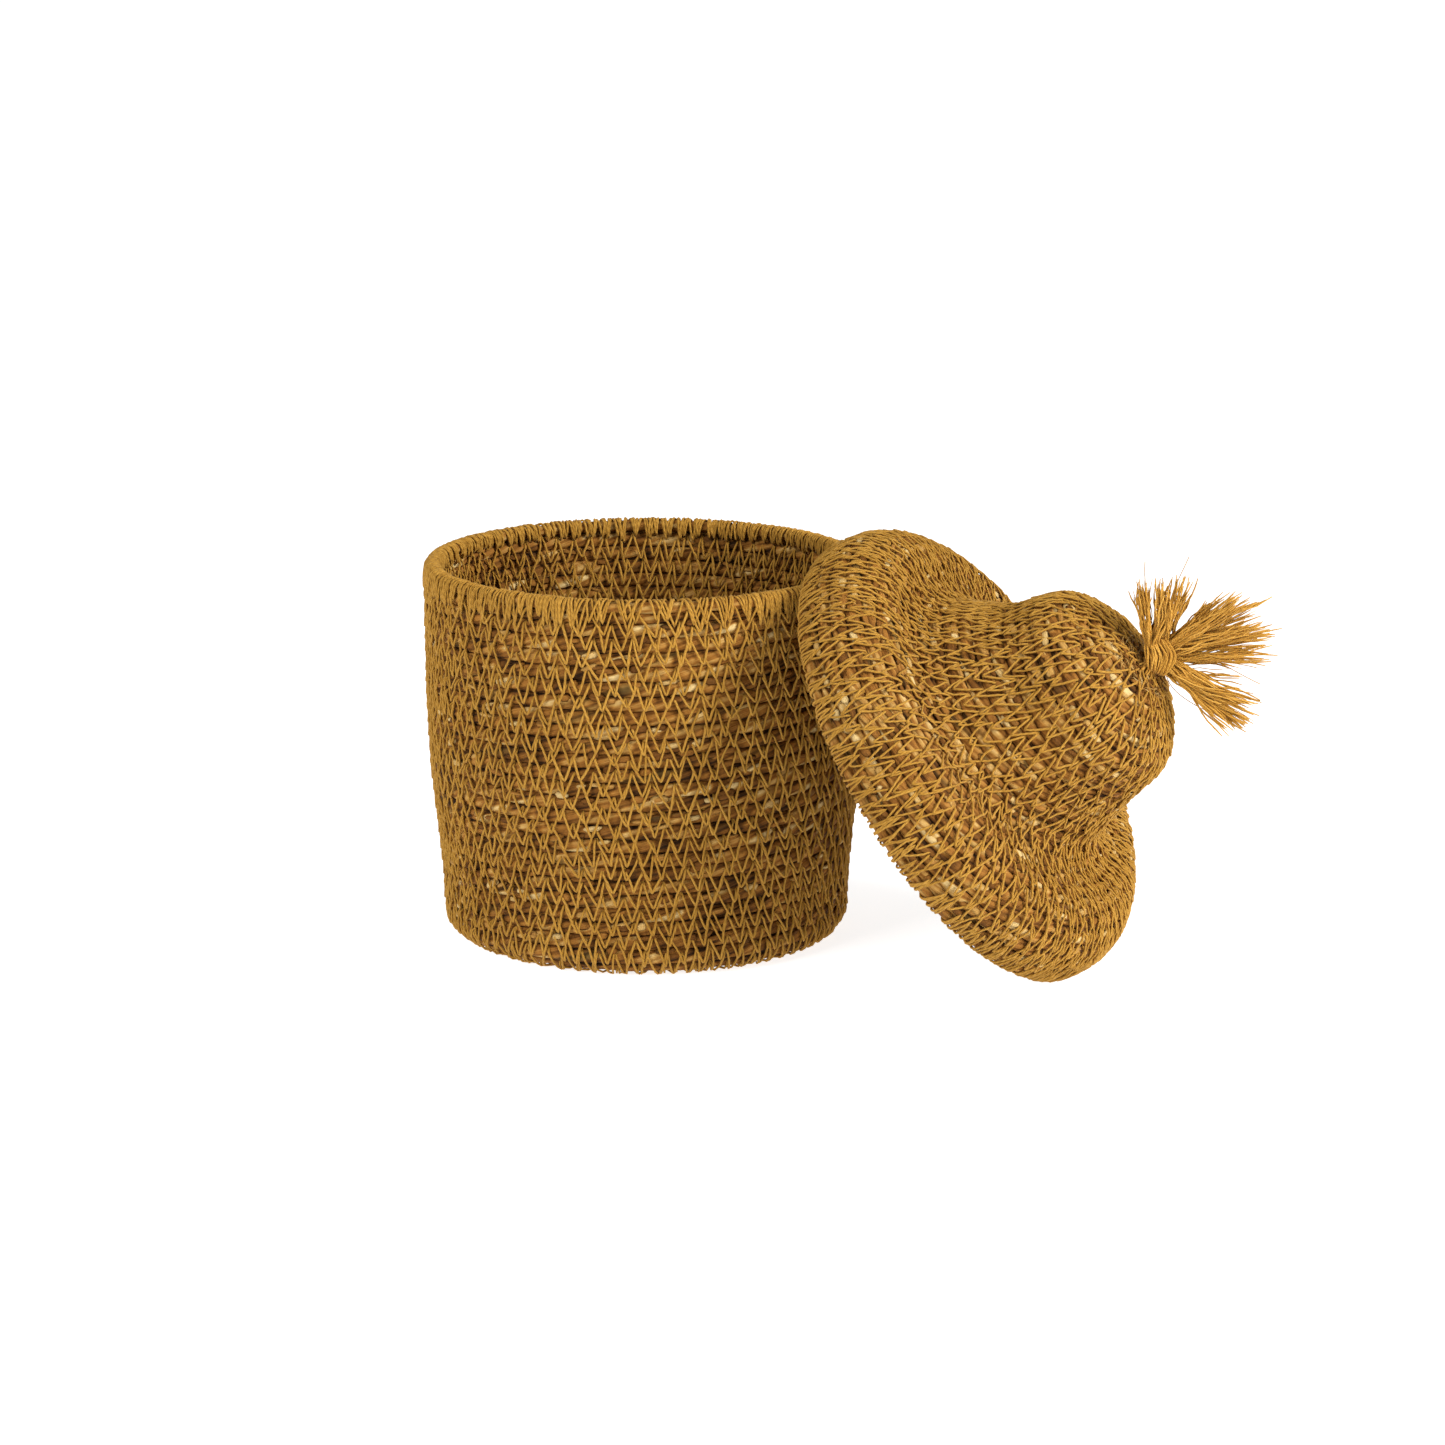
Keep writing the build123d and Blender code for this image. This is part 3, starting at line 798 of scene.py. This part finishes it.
# points of the inmost turn of yarn, and how far the outmost one lies from it
loops = {
    "count": 18, "strand": 0.34 * mm,
    "inmost": [(-1.2, 0.4, 0.5), (-4.9, -3.2, 3.4), (-4.7, -4.8, 1.2), (-4.3, -5.2, -1.8),
               (-3.8, -4.4, -4.6), (-2.8, -1.6, -6.0)],
    "outmost": [(1.8, 0.0, 1.0), (4.6, -0.7, 2.0), (7.8, -1.2, 1.6), (9.4, -1.4, 0.4),
                (7.0, -1.4, -1.4), (3.0, -0.6, -1.0)],
    "rings": 36,
}
root = {"count": 40, "angle": -50.0, "fan": 20.0, "near": 2.4, "far": 6.0}


def makeLoops():
    # the uncut turns of yarn that arch side by side over the root, in two layers
    dice = np.random.default_rng(94)
    n = loops["count"]
    inmost = throughPoints(loops["inmost"], loops["rings"]) * mm
    outmost = throughPoints(loops["outmost"], loops["rings"]) * mm
    rank = np.linspace(0, 1, n)[:, None, None]
    arch = np.sin(math.pi * np.linspace(0, 1, loops["rings"]))[None, :, None]
    wander = np.linspace(0, 6, loops["rings"])[None, :, None]
    drift = 0.45 * mm * np.sin(wander + 6 * dice.random((2 * n, 1, 3)))
    front = pivot + inmost + outmost * rank
    back = pivot + inmost * 0.8 + outmost * (rank * 0.85 + 0.05) + np.array([0.0, 1.4, 0.0]) * mm
    path = np.concatenate([front, back]) + drift * arch + 0.15 * mm * dice.normal(size=(2 * n, 1, 3))
    tone = (0.30 + 0.35 * dice.random(2 * n))[:, None, None]
    grid = sweep(path, np.array([0.1, -1.0, 0.05]) + 0 * path, loops["strand"], 6)
    run = np.linspace(0, 0.03, loops["rings"])[None] + dice.random((2 * n, 1))
    addPiece("tasselLoops", grid, "tassel", yarnMaterial,
             run, None, tone, ("tassel_head",))


def makeRoot():
    # yarn that comes up through the coil beside the crown and runs in under the gather
    dice = np.random.default_rng(97)
    n = root["count"]
    d = (root["near"] + (root["far"] - root["near"]) * dice.random(n)) * mm
    phi = np.radians(root["angle"] + root["fan"] * np.clip(dice.normal(size=n), -2, 2))
    spot, way = onMeridian(lidLine, lidLine["length"] - d)
    normal = np.stack([way[:, 1], -way[:, 0]], 1)
    skin = lidPlace(turned(spot + normal * 1.8 * mm, phi))
    out = lidWay(np.stack([normal[:, 0] * np.cos(phi), normal[:, 0] * np.sin(phi), normal[:, 1]], 1))
    t = np.linspace(0, 1, 16)[None, :, None]
    start = skin[:, None]
    end = pivot - lidAxis * 4.2 * mm + 0.8 * mm * dice.normal(size=(n, 1, 3))
    bend = (start + end) / 2 + out[:, None] * 1.6 * mm
    path = bezier((start, start + out[:, None] * 2.4 * mm, bend, end), t)
    grid = sweep(path, np.array([0.1, -1.0, 0.05]) + 0 * path, tassel["strand"], 5)
    tone = (0.25 + 0.4 * dice.random(n))[:, None, None]
    run = t[..., 0] * 0.02 + dice.random((n, 1))
    addPiece("tasselRoot", grid, "lid", yarnMaterial, run, None, tone)


strays = {
    "ends": [(-5.5, -2.0, 33.0), (33.0, -6.0, -2.0), (34.0, -4.0, -5.0), (35.0, -8.0, -9.0),
             (24.0, -4.0, -21.0), (37.0, -4.0, 1.0), (9.0, -3.0, 35.0)],
    "pulls": [(-4.5, -1.0, 14.0), (16.0, -3.0, 4.0), (17.0, -3.0, 0.0), (16.0, -4.0, 1.0),
              (6.0, -3.0, -19.0), (18.0, -2.0, 3.0), (3.0, -1.0, 18.0)],
}


def makeStrays():
    # a few fine fibres that have come loose
    dice = np.random.default_rng(95)
    ends, pulls = np.array(strays["ends"]), np.array(strays["pulls"])
    t = np.linspace(0, 1, 24)[None, :, None]
    n = len(ends)
    start = (pivot + np.array([0.5, -1.0, -1.0]) * mm) * np.ones((n, 1, 1))
    end, pull = pivot + ends[:, None] * mm, pivot + pulls[:, None] * mm
    path = bezier((start, (start + pull) / 2, pull, end), t)
    path = path + 0.5 * mm * t * np.sin(9 * t + 6 * dice.random((n, 1, 3)))
    grid = sweep(path, np.array([0.1, -1.0, 0.05]) + 0 * path, 0.14 * mm, 4)
    addPiece("tasselStrays", grid, "tassel", yarnMaterial, t[..., 0] * 0.03, None, 0.35)


def makeCord():
    # three plies through the crown, and the knot that stops them inside
    knotLow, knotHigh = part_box("tassel_knot")
    knot = np.array((knotLow + knotHigh) / 2)
    top = pivot - lidAxis * 4.0 * mm
    t = np.linspace(0, 1, 30)[None, :, None]
    angle = t * 9 + np.arange(3)[:, None, None] * 2 * math.pi / 3
    ring = (np.cos(angle) * downSlope + np.sin(angle) * acrossSlope) * 0.62 * mm
    grid = sweep(knot + (top - knot) * t + ring, lidAxis + downSlope + 0 * ring, 0.6 * mm, 8)
    addPiece("tasselCord", grid, "lid", yarnMaterial,
             t[..., 0] * 0.012, None, 0.45, ("tassel_cord",))
    # a trefoil turned about the cord
    a = np.linspace(0, 2 * math.pi, 90)[None, :, None]
    flat = (2 + np.cos(3 * a)) * 1.15 * mm
    tie = knot + flat * (np.cos(2 * a) * downSlope + np.sin(2 * a) * acrossSlope)
    tie = tie + np.sin(3 * a) * 1.9 * mm * lidAxis
    grid = sweep(tie, lidAxis + 0.3 * downSlope + 0 * tie, 1.35 * mm, 12)
    addPiece("tasselKnot", grid, "lid", yarnMaterial,
             a[..., 0] * 0.004, None, 0.45, ("tassel_knot",))


def crownFibres():
    # raw ends of leaf round the hole in the crown
    dice = np.random.default_rng(96)
    n = 190
    radius = (2.2 + 11.0 * dice.random(n) ** 1.2) * mm
    s = lidLine["length"] - radius
    phi = dice.random(n) * 2 * math.pi
    t = np.linspace(-1, 1, 6)[None, :]
    length = ((2.5 + 4.5 * dice.random(n)) * mm)[:, None]
    lean = dice.normal(size=(n, 1)) * 0.6
    p = phi[:, None] + t * length * np.cos(lean) / 2 / radius[:, None]
    q = s[:, None] + t * length * np.sin(lean) / 2
    q = np.minimum(q, lidLine["length"] - 1.0 * mm)
    spot, way = onMeridian(lidLine, q)
    normal = np.stack([way[..., 1], -way[..., 0]], -1)
    rise = 2.45 * mm + 0.4 * mm * dice.random((n, 1)) - 1.1 * mm * t ** 2 * (dice.random((n, 1)) > 0.15)
    path = lidPlace(turned(spot + normal * rise[..., None], p))
    grid = sweep(path, lidAxis + 0 * path, (0.13 + 0.17 * dice.random((n, 1))) * mm, 5)
    tone = (0.30 + 0.60 * dice.random(n))[:, None, None]
    addPiece("crownFibres", grid, "lid", coilMaterial, t * length + phi[:, None], None, tone)


makeTuft("tasselUpper", tassel["upper"], 91)
makeTuft("tasselMiddle", tassel["middle"], 92)
makeTuft("tasselLower", tassel["lower"], 93)
makeLoops()
makeRoot()
makeStrays()
makeCord()
crownFibres()
print("tassel done")


studio = {
    "lens": 99.1, "sensor": 36, "pitch": 13.51, "away": 1.464, "target": (0.0283, 0, 0.0756),
    "floorReach": 30.0, "floorShade": 0.6, "floorGlow": 0.84, "world": 0.30,
}


def setCamera():
    # level with the picture's sides, pitched down, a set distance from its target
    data = bpy.data.cameras.new("camera")
    data.sensor_width, data.lens = studio["sensor"], studio["lens"]
    camera = bpy.data.objects.new("camera", data)
    pitch, away = math.radians(studio["pitch"]), studio["away"]
    target = Vector(studio["target"])
    camera.location = target - Vector((0, math.cos(pitch), -math.sin(pitch))) * away
    camera.rotation_euler = (math.pi / 2 - pitch, 0, 0)
    bpy.context.scene.collection.objects.link(camera)
    bpy.context.scene.camera = camera


def softLight(name, place, aim, size, power):
    # a square area light that faces its aim
    data = bpy.data.lights.new(name, "AREA")
    data.size, data.energy = size, power
    lamp = bpy.data.objects.new(name, data)
    lamp.location = place
    lamp.rotation_euler = (Vector(aim) - Vector(place)).to_track_quat("-Z", "Y").to_euler()
    bpy.context.scene.collection.objects.link(lamp)


def makeFloor():
    # a pale floor that glows enough to read as white and still take a faint shadow
    mesh = bpy.data.meshes.new("floor")
    far, shade = studio["floorReach"], studio["floorShade"]
    mesh.from_pydata([(-far, -far, 0), (far, -far, 0), (far, far, 0), (-far, far, 0)], [], [(0, 1, 2, 3)])
    floor = bpy.data.objects.new("floor", mesh)
    material = bpy.data.materials.new("paleFloor")
    material.use_nodes = True
    shader = material.node_tree.nodes["Principled BSDF"]
    shader.inputs["Base Color"].default_value = (shade, shade, shade, 1)
    shader.inputs["Roughness"].default_value = 0.9
    shader.inputs["Emission Color"].default_value = (1, 1, 1, 1)
    shader.inputs["Emission Strength"].default_value = studio["floorGlow"]
    mesh.materials.append(material)
    bpy.context.scene.collection.objects.link(floor)


setCamera()
makeFloor()
softLight("key", (1.6, -0.95, 0.95), (0.06, 0, 0.07), 0.9, 50)
softLight("left", (-1.2, -1.0, 1.35), (0.0, 0, 0.07), 1.0, 26)
world = bpy.data.worlds.new("studio")
world.use_nodes = True
world.node_tree.nodes["Background"].inputs["Color"].default_value = (1, 1, 1, 1)
world.node_tree.nodes["Background"].inputs["Strength"].default_value = studio["world"]
bpy.context.scene.world = world
bpy.context.scene.view_settings.view_transform = "Standard"
print("studio ready")
